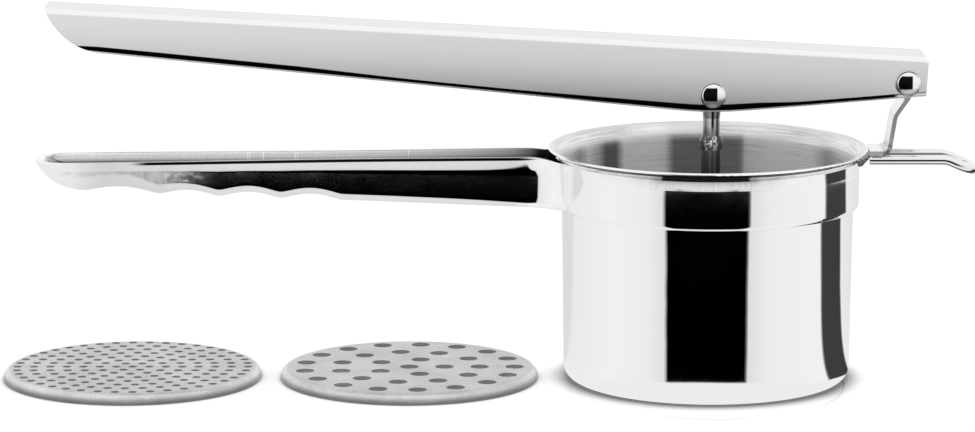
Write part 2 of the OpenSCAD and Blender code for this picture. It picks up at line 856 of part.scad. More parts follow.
module plate_weld() {
    color(weld_grey)
        translate([plunger_x, 0, plate_z + plate_wall])
            rotate_extrude()
                polygon([
                    [stem_d / 2, 0],
                    [stem_d / 2 + plate_weld_w, 0],
                    [stem_d / 2, plate_weld_w]
                ]);
}

// Holes round a disc: a middle hole and rings at an even distance
module ring_holes(rings, pitch, hole_d, turn) {
    translate([0, 0, -disc_h])
        cylinder(h = 3 * disc_h, d = hole_d, $fn = 32);
    for (k = [0:len(rings) - 1])
        for (i = [0:rings[k] - 1])
            rotate([0, 0, turn[k] + i * 360 / rings[k]])
                translate([(k + 1) * pitch, 0, -disc_h])
                    cylinder(h = 3 * disc_h, d = hole_d, $fn = 32);
}

// Flat perforated disc with its edge turned down
module disc_blank() {
    rotate_extrude() {
        translate([0, disc_h - disc_wall])
            square([disc_r - disc_edge_r, disc_wall]);
        arc_band(
            [disc_r - disc_edge_r, disc_h - disc_edge_r],
            disc_edge_r - disc_wall, disc_edge_r, 0, 90
        );
        translate([disc_r - disc_wall, 0])
            square([disc_wall, disc_h - disc_edge_r]);
    }
}

module fine_disc() {
    color(satin)
        translate([fine_x, -disc_front, 0])
            difference() {
                disc_blank();
                ring_holes(fine_rings, fine_pitch, fine_hole_d, [0, 0, 0, 0, 0, 0, 0]);
            }
}

module coarse_disc() {
    color(satin)
        translate([coarse_x, -disc_front, 0])
            difference() {
                disc_blank();
                ring_holes(coarse_rings, coarse_pitch, coarse_hole_d, [0, 0, 0]);
            }
}

hopper();
collar_ring();
lower_handle();
handle_weld();
hinge_bracket();
hinge_weld();
bowl_hook();
hook_welds();
lever();
hinge_rivet();
plunger_rivet();
plunger_eye();
plunger_stem();
stem_weld();
plunger_plate();
plate_weld();
fine_disc();
coarse_disc();
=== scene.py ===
"""Vegetable press in polished and satin stainless steel on a white sweep."""

import math

import bpy
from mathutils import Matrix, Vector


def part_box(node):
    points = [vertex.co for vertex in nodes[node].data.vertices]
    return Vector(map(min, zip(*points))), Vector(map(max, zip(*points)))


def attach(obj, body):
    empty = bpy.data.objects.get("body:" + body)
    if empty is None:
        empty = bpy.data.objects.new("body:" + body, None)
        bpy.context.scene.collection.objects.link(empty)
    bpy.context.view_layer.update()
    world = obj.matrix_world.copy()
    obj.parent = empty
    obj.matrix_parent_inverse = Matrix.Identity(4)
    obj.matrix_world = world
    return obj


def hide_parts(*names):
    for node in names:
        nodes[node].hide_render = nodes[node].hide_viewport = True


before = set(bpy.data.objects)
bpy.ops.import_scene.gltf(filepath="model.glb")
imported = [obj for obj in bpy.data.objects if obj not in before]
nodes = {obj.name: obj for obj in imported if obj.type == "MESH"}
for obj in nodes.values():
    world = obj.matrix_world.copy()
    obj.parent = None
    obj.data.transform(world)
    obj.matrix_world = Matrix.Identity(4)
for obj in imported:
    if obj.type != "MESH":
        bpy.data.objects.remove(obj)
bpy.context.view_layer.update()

MM = 0.001
STEEL = (0.93, 0.93, 0.935, 1)

# Camera, fitted to the press
CAMERA_AT = (-64.756 * MM, -1300.0 * MM, 288.509 * MM)
CAMERA_DOWN = 10.4737
CAMERA_LENS = 165.5936
SENSOR = 36.0

# Collar and the hopper's flare above it, in millimetres
COLLAR_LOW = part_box("collar_ring")[0][2] / MM
COLLAR_TOP = 66.1406
COLLAR_OUT = 44.45
COLLAR_FLARE_R = 17.2167
COLLAR_FLARE_Z = COLLAR_TOP - 3.2
SHOULDER_R = 1.4
FLARE_CX = 48.0
FLARE_R = 5.0
FLARE_Z = 63.3126

# Painted shade under the lip: a thin dark line all round, between two heights, and
# the painted reflection of the black card on the stretch in front
LIP_LINE = (67.3, 68.34)
LIP_CARD = (-15.1, 9.9)

# Collar's upper band in front, which mirrors the lip and carries painted shade
BAND_Z = 63.35
BAND_X = (-24.0, 19.0)

# Lower handle: its rim climbs evenly from the tip to the collar
TIP = -197.8
END = -42.088
RIM_END = COLLAR_TOP + 1.3
RIM_CLIMB = 1.9
WALL = 1.2
GRIP_X = TIP + 14.8
WAIST_X = TIP + 95
GROOVE_ENDS = (0, 22, 39.6, 57.6, 75.8)
GROOVE_DEPTH = 1.5
FILLET_X = -52.99
FILLET_END_X = -41.0
FILLET_R = 13.0
FILLET_Y = 22.2

# Rivets at rest (x, z), and the radius of their heads
HINGE = (57.8, 89.1)
PLUNGER = (1.0, 85.605)
HEAD_R = 3.9

# Lever: its tilt at rest, and the arc of its lower edge in its own frame, where
# the hinge is the origin; the arc runs on straight past both angles
TILT = math.radians(3.2)
ARC_Z = 103.0
ARC_X = -56.52 - ARC_Z * math.tan(TILT)
ARC_R = 115.0
ARC_ANGLES = (math.radians(-2.5), math.radians(7.8))

# Cards on the floor that only the steel sees: apex of their wedges, near and far
# limits in millimetres, and each wedge's sides in degrees with its soft borders
CARD_APEX = (-1.1, -22.6)
CARD_NEAR = (48, 50)
CARD_FAR = (394, 382)
BLACK_CARD = (-35.5, -34.8, 29.4, 30.1)
DARK_CARD = (96.6, 97.2, 123.6, 124.2)


def srgb(v):
    """Linear value of an 8-bit grey."""
    v = v / 255
    return v / 12.92 if v <= 0.04045 else ((v + 0.055) / 1.055) ** 2.4


def grey(v):
    return (srgb(v),) * 3 + (1.0,)


class Graph:
    """Short calls for making shader nodes."""

    def __init__(self, tree):
        self.tree = tree
        tree.nodes.clear()

    def node(self, kind, inputs=None, **props):
        n = self.tree.nodes.new(kind)
        for k, v in props.items():
            setattr(n, k, v)
        for k, v in (inputs or {}).items():
            self.put(n.inputs[k], v)
        return n

    def put(self, socket, value):
        if isinstance(value, bpy.types.NodeSocket):
            self.tree.links.new(value, socket)
        elif value is not None:
            socket.default_value = value

    def math(self, op, a, b=None, c=None, clamp=False):
        n = self.node("ShaderNodeMath", operation=op, use_clamp=clamp)
        for i, v in enumerate((a, b, c)):
            if v is not None:
                self.put(n.inputs[i], v)
        return n.outputs[0]

    def vmath(self, op, a, b=None, scale=None):
        n = self.node("ShaderNodeVectorMath", operation=op)
        self.put(n.inputs[0], a)
        if b is not None:
            self.put(n.inputs[1], b)
        if scale is not None:
            self.put(n.inputs["Scale"], scale)
        return n.outputs["Value" if op in ("DOT_PRODUCT", "LENGTH") else "Vector"]

    def xyz(self, v):
        n = self.node("ShaderNodeSeparateXYZ", {0: v})
        return n.outputs[0], n.outputs[1], n.outputs[2]

    def join(self, x, y, z):
        return self.node("ShaderNodeCombineXYZ", {0: x, 1: y, 2: z}).outputs[0]

    def ramp(self, fac, stops, interpolation="LINEAR"):
        n = self.node("ShaderNodeValToRGB", {"Fac": fac})
        r = n.color_ramp
        r.interpolation = interpolation
        while len(r.elements) > 1:
            r.elements.remove(r.elements[-1])
        for i, (at, colour) in enumerate(stops):
            e = r.elements[0] if i == 0 else r.elements.new(at)
            e.position = at
            e.color = colour if isinstance(colour, tuple) else grey(colour)
        return n.outputs["Color"]

    def step(self, v, low, high):
        """0 below low and 1 above high, or the other way round, with a smooth turn."""
        n = self.node("ShaderNodeMapRange", {0: v}, interpolation_type="SMOOTHSTEP")
        lo, hi, flip = (low, high, False) if low < high else (high, low, True)
        for i, s in zip((1, 2, 3, 4), (lo, hi, 1.0 if flip else 0.0, 0.0 if flip else 1.0)):
            n.inputs[i].default_value = s
        return n.outputs[0]

    def within(self, v, low, high, soft):
        """1 between low and high, with a smooth turn on both sides."""
        a = self.step(v, low - soft, low + soft)
        b = self.step(v, high + soft, high - soft)
        return self.math("MULTIPLY", a, b)

    def mix(self, fac, a, b):
        n = self.node("ShaderNodeMix", data_type="RGBA")
        self.put(n.inputs[0], fac)
        self.put(n.inputs[6], a)
        self.put(n.inputs[7], b)
        return n.outputs[2]

    def mixf(self, fac, a, b):
        n = self.node("ShaderNodeMix", data_type="FLOAT")
        self.put(n.inputs[0], fac)
        self.put(n.inputs[2], a)
        self.put(n.inputs[3], b)
        return n.outputs[0]

    def curve(self, v, stops):
        """Piecewise linear function of v, from (value, result) pairs."""
        low, high = stops[0][0], stops[-1][0]
        top = max(r for _, r in stops)
        fac = self.math("MULTIPLY_ADD", v, 1 / (high - low), -low / (high - low))
        made = self.ramp(
            fac, [((a - low) / (high - low), (r / top,) * 3 + (1.0,)) for a, r in stops])
        return self.math("MULTIPLY", made, top)

    def noise(self, vector, scale, detail=2.0, rough=0.5, distortion=0.0):
        return self.node(
            "ShaderNodeTexNoise",
            {"Vector": vector, "Scale": scale, "Detail": detail,
             "Roughness": rough, "Distortion": distortion},
        ).outputs["Fac"]


def material(name):
    m = bpy.data.materials.new(name)
    m.use_nodes = True
    return m, Graph(m.node_tree)


def finish_steel(g, colour, rough, normal=None):
    p = g.node("ShaderNodeBsdfPrincipled", {"Metallic": 1.0})
    g.put(p.inputs["Base Color"], colour)
    g.put(p.inputs["Roughness"], rough)
    if normal is not None:
        g.put(p.inputs["Normal"], normal)
    out = g.node("ShaderNodeOutputMaterial")
    g.put(out.inputs["Surface"], p.outputs[0])
    return p


def bump(g, height, strength, distance):
    n = g.node("ShaderNodeBump", {"Strength": strength, "Distance": distance, "Height": height})
    return n.outputs[0]


def place(g):
    """Position in the press's frame, in millimetres."""
    p = g.node("ShaderNodeTexCoord").outputs["Object"]
    return g.vmath("SCALE", p, scale=1000.0)


def crevice(g, distance, low, high):
    """1 in the open and 0 where other surfaces are close by."""
    ao = g.node("ShaderNodeAmbientOcclusion", {"Distance": distance * MM}, samples=8)
    return g.step(ao.outputs["AO"], low, high)


def tinted(g, value):
    """Neutral grey of a linear value."""
    return g.join(value, value, value)


def stretched(g, x, y, z, by):
    """Coordinates for a grain that is drawn out; by gives the three scales."""
    return g.join(*(v if k == 1 else g.math("MULTIPLY", v, k) for v, k in zip((x, y, z), by)))


def smudges(g, p):
    return g.noise(p, 0.25, 4.0, 0.6)


def waves(g, p):
    return g.noise(p, 0.045, 2.0)


def below_rim(g, x, z):
    """Depth below the lower handle's rim."""
    slope = RIM_CLIMB / (END - TIP)
    rim = g.math("MULTIPLY_ADD", x, slope, handle_top(TIP) - TIP * slope)
    return g.math("SUBTRACT", rim, z)


def normal_of(g):
    """Normal in the piece's own space, so that the finish moves with it."""
    return g.xyz(g.node("ShaderNodeTexCoord").outputs["Normal"])


# ---------------------------------------------------------------- finishes
# Places are in millimetres in the press's frame at rest. A pair in a curve is a place,
# or a part of the normal, with the brightness there.

def collar_steel():
    """Mirror; its upper band leans outwards, is scratched in front and carries painted shade
    towards the lip.
    """
    m, g = material("collar_steel")
    p = place(g)
    x, y, z = g.xyz(p)
    streak = g.noise(stretched(g, x, y, z, (5.0, 1, 0.15)), 1.0, 2.0, 0.7)
    upper = g.math("MAXIMUM", g.math("SUBTRACT", z, BAND_Z), 0.0)
    front = g.math("MULTIPLY", g.within(x, *BAND_X, 4.0), g.step(y, -20.0, -24.0))
    lean = g.math("MULTIPLY", g.math("MULTIPLY", upper, 0.5), g.within(x, -31.0, 20.5, 3.5))
    height = g.math("MULTIPLY_ADD", waves(g, p), 0.09, lean)
    in_band = g.math("MULTIPLY", g.step(z, 63.0, 63.6), front)
    rough = g.mixf(in_band, g.math("MULTIPLY_ADD", smudges(g, p), 0.03, 0.02), 0.1)
    # Painted shade: the band darkens towards the lip above it, over its streaks of scratches; its
    # sides are painted lighter as reflection
    streaks_and_shade = g.math("MULTIPLY", g.curve(z, [(63.3, 0.86), (64.4, 0.8), (65.4, 0.62), (66.3, 0.4)]),
                  g.math("MULTIPLY_ADD", streak, 0.6, 0.7))
    sides = g.step(g.math("ABSOLUTE", g.math("ADD", x, 2.6)), 13.0, 17.0)
    streaks_and_shade = g.mixf(sides, streaks_and_shade, g.math("MULTIPLY_ADD", streaks_and_shade, 0.35, 0.58))
    colour = g.mix(in_band, STEEL, tinted(g, streaks_and_shade))
    finish_steel(g, colour, rough, bump(g, height, 1.0, MM))
    return m


def handle_steel():
    """Mirror with a painted shade line under the rolled rim and painted reflection brightness along
    it; the rounded tip is duller and scratched.
    """
    m, g = material("handle_steel")
    p = place(g)
    x, y, z = g.xyz(p)
    below = below_rim(g, x, z)
    outer = g.step(g.math("MULTIPLY", normal_of(g)[1], g.math("SIGN", y)), 0.1, 0.35)
    # Painted shade: a dark line just under the rolled rim, on the outer faces
    line = g.math("MULTIPLY", g.within(below, 0.16, 1.02, 0.06), outer)
    line = g.math("MULTIPLY", line, g.within(x, -167.0, -53.0, 3.0))
    smudge = smudges(g, p)
    scratch = g.noise(stretched(g, x, y, z, (4.0, 1, 0.3)), 1.0, 3.0, 0.7)
    rough = g.math("MULTIPLY_ADD", smudge, 0.03, 0.03)
    tip = g.step(x, -143.0, -163.0)
    rough = g.mixf(tip, rough, g.math("MULTIPLY_ADD", scratch, 0.22, 0.1))
    dent = g.math("MULTIPLY", g.noise(p, 0.16, 2.0, 0.6), tip)
    height = g.math("MULTIPLY_ADD", waves(g, p), 0.03, g.math("MULTIPLY", dent, 0.22))
    # Painted reflection: brightness along the handle, darker behind the tip and brightest at the
    # root
    level = g.curve(x, [(-198, 0.92), (-186, 0.86), (-178, 0.7), (-160, 0.74), (-140, 0.78),
                        (-70, 0.79), (-57, 0.8), (-52, 0.95), (-40, 0.95)])
    level = g.math("MULTIPLY", level, g.math("MULTIPLY_ADD", smudge, 0.12, 0.94))
    colour = g.mix(line, tinted(g, level), grey(20))
    finish_steel(g, colour, rough, bump(g, height, 1.0, MM))
    return m


def handle_inside_steel():
    """Brushed inside of the handle, painted darker deeper down and towards the collar as shade,
    with a few scratches across it.
    """
    m, g = material("handle_inside_steel")
    p = place(g)
    x, y, z = g.xyz(p)
    below = below_rim(g, x, z)
    grain = g.noise(stretched(g, x, y, z, (3.0, 1, 0.25)), 1.2, 3.0, 0.7)
    drift = g.noise(p, 0.06, 2.0)
    # Painted shade: darker the deeper below the rim, and darker towards the collar
    level = g.curve(
        below, [(0, 0.92), (0.9, 0.6), (1.5, 0.58), (2.1, 0.42), (2.7, 0.17), (3.4, 0.1)])
    level = g.math("MULTIPLY", level, g.curve(x, [
        (-198, 1.1), (-150, 1.0), (-105, 0.95), (-75, 0.72), (-57, 0.42), (-50, 0.1), (-40, 0.02)]))
    level = g.math("MULTIPLY", level, g.math("MULTIPLY_ADD", grain, 0.5, 0.78))
    scratches = 0.0
    for at, half in ((-135.6, 0.12), (-134.9, 0.1), (-131.0, 0.16),
                     (-121.6, 0.14), (-121.0, 0.1), (-88.1, 0.1)):
        scratches = g.math("MAXIMUM", scratches, g.within(x, at - half, at + half, 0.08))
    level = g.math("MULTIPLY_ADD", scratches, 0.22, level)
    rough = g.math("MULTIPLY_ADD", drift, 0.15, 0.25)
    finish_steel(g, tinted(g, level), rough, bump(g, grain, 0.12, 0.0003))
    return m


def hopper_steel():
    """Mirror outside, turned brushing inside with painted shade round it, a painted shade line
    under the lip's edge and a painted reflection on the underside in front.
    """
    m, g = material("hopper_steel")
    p = place(g)
    x, y, z = g.xyz(p)
    radial = g.vmath("NORMALIZE", g.join(x, y, 0.0))
    true_normal = g.node("ShaderNodeNewGeometry").outputs["True Normal"]
    facing = g.vmath("DOT_PRODUCT", true_normal, radial)
    nz = g.xyz(true_normal)[2]
    under_lip = g.math("MULTIPLY", g.step(z, 63.5, 64.5), g.step(nz, 0.0, -0.1))
    inside = g.math("MULTIPLY", g.step(facing, 0.05, -0.05), g.math("SUBTRACT", 1.0, under_lip))
    r = g.vmath("LENGTH", g.join(x, y, 0.0))
    turn = g.math("ARCTAN2", x, y)
    along = g.math("MULTIPLY", turn, 1.2)
    across = g.math("MULTIPLY", g.math("SUBTRACT", z, r), 5.0)
    rings = g.noise(g.join(along, across, 0.0), 1.6, 3.0, 0.7)
    drift = g.noise(p, 0.12, 3.0)
    deep = g.step(z, 66.6, 63.5)
    # Brightness round the inside, by the angle from the far side
    shade = g.curve(turn, [(math.radians(a), v) for a, v in (
        (-180, 0.9), (-72, 0.8), (-62, 0.5), (-55, 0.85), (-48, 0.6), (-44, 0.2), (-38, 0.2),
        (-34, 0.9), (-20, 1.0), (-15, 0.95), (-11.5, 0.3), (16.5, 0.3), (18.5, 0.85),
        (30, 1.0), (50, 0.95), (60, 0.55), (72, 0.75), (180, 0.9))])
    shade = g.mixf(deep, 0.72, shade)
    inner = g.math("MULTIPLY", shade, g.math("MULTIPLY_ADD", rings, 1.8, 0.09))
    rough_in = g.mixf(deep, 0.3, g.math("MULTIPLY_ADD", drift, 0.1, 0.6))
    rough_out = g.mixf(under_lip, g.math("MULTIPLY_ADD", smudges(g, p), 0.03, 0.02), 0.25)
    rough = g.mixf(inside, rough_out, rough_in)
    # Painted shade: a dark line under the lip's edge, between two heights
    edge = g.math("MULTIPLY", g.within(z, *LIP_LINE, 0.04), g.step(r, 44.85, 45.0))
    edge = g.math("MULTIPLY", edge, g.step(x, -44.0, -36.0))
    # Painted reflection of the black card under the lip in front; the rest of the underside is
    # painted white, as brighter reflection
    card = g.math("MULTIPLY", g.within(x, *LIP_CARD, 0.4), g.step(y, -20.0, -24.0))
    card = g.math("MULTIPLY", g.math("MULTIPLY", card, under_lip), g.step(z, 68.0, 67.8))
    outer = g.mix(card, g.mix(under_lip, STEEL, (1, 1, 1, 1)), grey(95))
    outer = g.mix(edge, outer, grey(5))
    colour = g.mix(inside, outer, tinted(g, inner))
    height = g.mixf(inside, waves(g, p), g.math("MULTIPLY", rings, 0.16))
    shader = finish_steel(g, colour, rough, bump(g, height, 0.15, 0.0006))
    tangent = g.node("ShaderNodeTangent", direction_type="RADIAL", axis="Z")
    g.put(shader.inputs["Tangent"], tangent.outputs[0])
    shader.inputs["Anisotropic"].default_value = 0.75
    shader.inputs["Anisotropic Rotation"].default_value = 0.25
    return m


def lever_steel():
    """Satin sheet with painted shading: a dark band on the turned-in lower edges, a bright line
    under it, a highlight on the upper bend, a darker far edge and sides darker towards the bottom.
    """
    m, g = material("lever_steel")
    p = place(g)
    x, y, z = g.xyz(p)
    # Place in the lever's own frame, and height above its lower edge
    dx = g.math("SUBTRACT", x, HINGE[0])
    dz = g.math("SUBTRACT", z, HINGE[1])
    cos, sin = math.cos(TILT), math.sin(TILT)
    lx = g.math("SUBTRACT", g.math("MULTIPLY", dx, cos), g.math("MULTIPLY", dz, sin))
    lz = g.math("ADD", g.math("MULTIPLY", dx, sin), g.math("MULTIPLY", dz, cos))
    ax = g.math("SUBTRACT", lx, ARC_X)
    az = g.math("SUBTRACT", lz, ARC_Z)
    angle = g.math("ARCTAN2", ax, g.math("MULTIPLY", az, -1.0))
    angle = g.math("MINIMUM", g.math("MAXIMUM", angle, ARC_ANGLES[0]), ARC_ANGLES[1])
    reach = g.math("SUBTRACT", g.math("MULTIPLY", ax, g.math("SINE", angle)),
                   g.math("MULTIPLY", az, g.math("COSINE", angle)))
    above = g.math("SUBTRACT", ARC_R, reach)
    # Painted shade: a dark band along the turned-in lower edges, its height given along the lever
    band = g.curve(x, [
        (-195, 1.5), (-184, 1.8), (-178, 2.1), (-160, 2.15), (-119, 2.15), (-97, 1.75),
        (-76, 1.5), (-54, 1.65), (-32, 1.95), (-9, 2.35), (8, 2.45), (14.5, 2.3),
        (20, 1.95), (26, 1.65), (44, 1.55), (52, 1.6), (64, 1.6)])
    under = g.step(g.math("SUBTRACT", above, band), 0.12, -0.12)
    over = g.step(above, 0.5, 0.74)
    off = g.math("ABSOLUTE", y)
    side = g.step(off, 7.95, 8.1)
    hem = g.math("MULTIPLY", g.math("MULTIPLY", under, over), side)
    hem = g.math("MULTIPLY", hem, g.step(x, 55.5, 53.5))
    # Painted highlight: a bright line along the very lower edge
    edge = g.math("MULTIPLY", g.step(above, 0.7, 0.5), g.step(off, 6.5, 6.8))
    _, ny, nz = normal_of(g)
    # Painted highlight on the upper bend
    bend_highlight = g.math("MULTIPLY", g.step(g.math("ABSOLUTE", ny), 0.12, 0.3), g.step(nz, 0.06, 0.25))
    # Painted reflection: the sides darker towards the bottom
    down = g.math("MAXIMUM", g.math("SUBTRACT", 6.3, lz), 0.0)
    fall = g.math("MULTIPLY", g.math("MULTIPLY", down, down), -0.0015)
    flat = g.math("ADD", 0.79, fall)
    roof = g.step(nz, 0.7, 0.9)
    # Painted shading: the top face darker along its far edge
    far_edge = g.math("MULTIPLY", g.step(y, 6.2, 6.8), g.step(nz, 0.2, 0.5))
    grain = g.noise(stretched(g, x, y, z, (0.03, 1, 1)), 4.0, 3.0, 0.6)
    cloud = g.noise(p, 0.05, 2.0)
    rough = g.math("MULTIPLY_ADD", grain, 0.04, 0.19)
    rough = g.mixf(hem, rough, 0.12)
    hollow = g.math("MULTIPLY", g.step(off, 8.2, 8.1), g.step(nz, 0.5, 0.2))
    rough = g.mixf(hollow, rough, 0.5)
    body = g.mixf(roof, flat, g.math("MULTIPLY_ADD", cloud, 0.08, 0.71))
    body = g.mixf(bend_highlight, body, 0.91)
    body = g.mixf(far_edge, body, 0.58)
    body = g.mixf(edge, body, 0.98)
    colour = g.mix(hem, tinted(g, body), grey(4))
    finish_steel(g, colour, rough, bump(g, grain, 0.03, 0.0001))
    return m


def rod_steel():
    """Turned rod and eye: painted reflections as dark stripes along a polished rod, plainer below
    the weld, and painted shade darker lower down.
    """
    m, g = material("rod_steel")
    p = place(g)
    z = g.xyz(p)[2]
    nx = normal_of(g)[0]
    # Painted reflections: dark and light stripes by the normal across the rod
    stripe = g.curve(nx, [
        (-1, 0.42), (-0.6, 0.36), (-0.3, 0.55), (-0.12, 0.75), (-0.03, 0.02), (0.14, 0.01),
        (0.26, 0.2), (0.38, 0.62), (0.5, 0.12), (0.7, 0.16), (0.88, 0.32), (1, 0.5)])
    plain = g.curve(nx, [
        (-1, 0.3), (-0.6, 0.22), (-0.3, 0.28), (-0.12, 0.5), (-0.03, 0.24), (0.14, 0.24),
        (0.26, 0.42), (0.38, 0.4), (0.5, 0.13), (0.7, 0.16), (0.88, 0.32), (1, 0.5)])
    stripe = g.mixf(g.step(z, 76.0, 73.0), stripe, plain)
    # Painted shade: darker lower down, inside the hopper
    dim = g.curve(z, [(60, 0.3), (66, 0.5), (69, 0.8), (72, 1.0), (90, 1.0)])
    level = g.math("MULTIPLY", stripe, dim)
    grain = g.noise(p, 0.8, 2.0)
    level = g.math("MULTIPLY", level, g.math("MULTIPLY_ADD", grain, 0.5, 0.78))
    finish_steel(g, tinted(g, level), 0.2)
    return m


def rivet_steel():
    """Domed heads with painted reflections: a bright rim, a thin dark ring and a dark window left
    of the middle.
    """
    m, g = material("rivet_steel")
    x, _, z = g.xyz(place(g))
    hinge = g.step(x, 29.0, 30.0)
    u = g.math("DIVIDE", g.math("SUBTRACT", x, g.mixf(hinge, PLUNGER[0], HINGE[0])), HEAD_R)
    v = g.math("DIVIDE", g.math("SUBTRACT", z, g.mixf(hinge, PLUNGER[1], HINGE[1])), HEAD_R)
    r = g.vmath("LENGTH", g.join(u, v, 0.0))
    # Painted reflections on each head: a dark window, a thin dark ring, a darker outline and a
    # darker lower part
    window = g.math("MULTIPLY", g.within(u, -0.84, 0.3, 0.03), g.within(v, -0.42, 0.58, 0.05))
    window = g.math("MULTIPLY", window, g.step(r, 0.78, 0.74))
    ring = g.within(r, 0.84, 0.92, 0.02)
    ring = g.math("MULTIPLY", ring, g.step(g.math("SUBTRACT", v, u), -0.5, 0.4))
    outline = g.step(r, 0.95, 0.99)
    low = g.math("MULTIPLY", g.step(v, -0.3, -0.5), 0.3)
    level = g.math("SUBTRACT", 0.9, low)
    level = g.mixf(outline, level, 0.3)
    level = g.mixf(ring, level, 0.06)
    level = g.mixf(window, level, 0.006)
    finish_steel(g, tinted(g, level), 0.3)
    return m


def strap_steel():
    """Bright strap whose cut edges carry painted shading, darker towards the top, with dark noisy
    patches at its foot.
    """
    m, g = material("strap_steel")
    p = place(g)
    x, _, z = g.xyz(p)
    edge = g.step(g.math("ABSOLUTE", normal_of(g)[1]), 0.5, 0.8)
    blotch_noise = g.noise(p, 0.9, 3.0, 0.7)
    foot = g.math("MULTIPLY", g.within(x, 51.0, 54.5, 0.8), g.step(z, 72.0, 70.0))
    # Painted shading: the cut edges darker towards the top
    cut = g.curve(z, [(66, 0.8), (70, 0.6), (73, 0.4), (76, 0.3), (90, 0.28), (94, 0.28)])
    level = g.mixf(edge, 0.8, cut)
    dark = g.math("MULTIPLY", foot, g.step(blotch_noise, 0.35, 0.65))
    level = g.mixf(dark, level, 0.12)
    finish_steel(g, tinted(g, level), 0.14)
    return m


def wire_steel():
    """Bright wire with painted reflections: a dark stripe along its side, a dark back, a darker
    underside, and darker at its inner end.
    """
    m, g = material("wire_steel")
    x, y, _ = g.xyz(place(g))
    nz = normal_of(g)[2]
    front = g.step(y, 0.5, -0.5)
    # Painted reflections by the normal: a dark stripe along the front, a dark back, a darker
    # underside and brightness along the wire
    stripe = g.math("MULTIPLY", g.within(nz, -0.2, 0.16, 0.05), front)
    stripe = g.math("MULTIPLY", stripe, g.step(x, 76.0, 72.0))
    back = g.math("MULTIPLY", g.step(nz, 0.45, 0.15), g.math("SUBTRACT", 1.0, front))
    level = g.mixf(back, g.curve(x, [(46, 0.3), (56, 0.6), (64, 0.85), (80, 0.85)]), 0.2)
    level = g.mixf(front, level, g.math("MAXIMUM", level, 0.82))
    low = g.step(nz, -0.55, -0.8)
    level = g.mixf(low, level, 0.4)
    level = g.mixf(stripe, level, 0.01)
    finish_steel(g, tinted(g, level), 0.12)
    return m


def mirror_steel():
    m, g = material("mirror_steel")
    finish_steel(g, STEEL, g.math("MULTIPLY_ADD", smudges(g, place(g)), 0.03, 0.03))
    return m


def satin_steel():
    m, g = material("satin_steel")
    x, y, z = g.xyz(place(g))
    grain = g.noise(stretched(g, x, y, z, (0.03, 1, 1)), 4.0, 3.0, 0.6)
    rough = g.math("MULTIPLY_ADD", grain, 0.08, 0.26)
    finish_steel(g, (0.8, 0.8, 0.8, 1), rough, bump(g, grain, 0.05, 0.0002))
    return m


def disc_steel():
    """Stamped sheet, dull and mottled, with a painted highlight round its rounded edge and painted
    shade on its sides.
    """
    m, g = material("disc_steel")
    p = place(g)
    nz = normal_of(g)[2]
    grain = g.noise(g.vmath("MULTIPLY", p, (1.0, 0.35, 1.0)), 2.5, 4.0, 0.7)
    cloud = g.noise(p, 0.09, 3.0, 0.6)
    rough = g.math("MULTIPLY_ADD", grain, 0.1, 0.32)
    level = g.math("ADD", g.math("MULTIPLY", grain, 0.42), g.math("MULTIPLY", cloud, 0.34))
    level = g.math("ADD", level, 0.16)
    # Painted highlight on the rounded edge and painted shade on the sides
    edge_light_and_shade = g.curve(nz, [
        (-1, 0.25), (0, 0.35), (0.3, 0.75), (0.6, 1.25), (0.9, 1.3), (0.985, 1.0), (1, 1.0)])
    level = g.math("MULTIPLY", level, edge_light_and_shade)
    finish_steel(g, tinted(g, level), rough, bump(g, grain, 0.1, 0.0002))
    return m


def weld_steel():
    m, g = material("weld_steel")
    grain = g.noise(place(g), 1.2, 3.0, 0.6)
    level = g.math("MULTIPLY_ADD", grain, 0.5, 0.05)
    finish_steel(g, tinted(g, level), 0.2, bump(g, grain, 0.15, 0.0004))
    return m


def bead_steel():
    """Weld on the plunger's rod: dark, with painted glints across its middle."""
    m, g = material("bead_steel")
    grain = g.noise(place(g), 1.1, 3.0, 0.7, 0.6)
    middle = g.step(g.math("ABSOLUTE", g.math("ADD", normal_of(g)[0], 0.05)), 0.62, 0.4)
    # Painted glints, only across the bead's middle
    glints = g.step(grain, 0.46, 0.56)
    level = g.mixf(g.math("MULTIPLY", middle, glints), 0.1, 0.9)
    finish_steel(g, tinted(g, level), 0.2, bump(g, grain, 0.5, 0.0005))
    return m


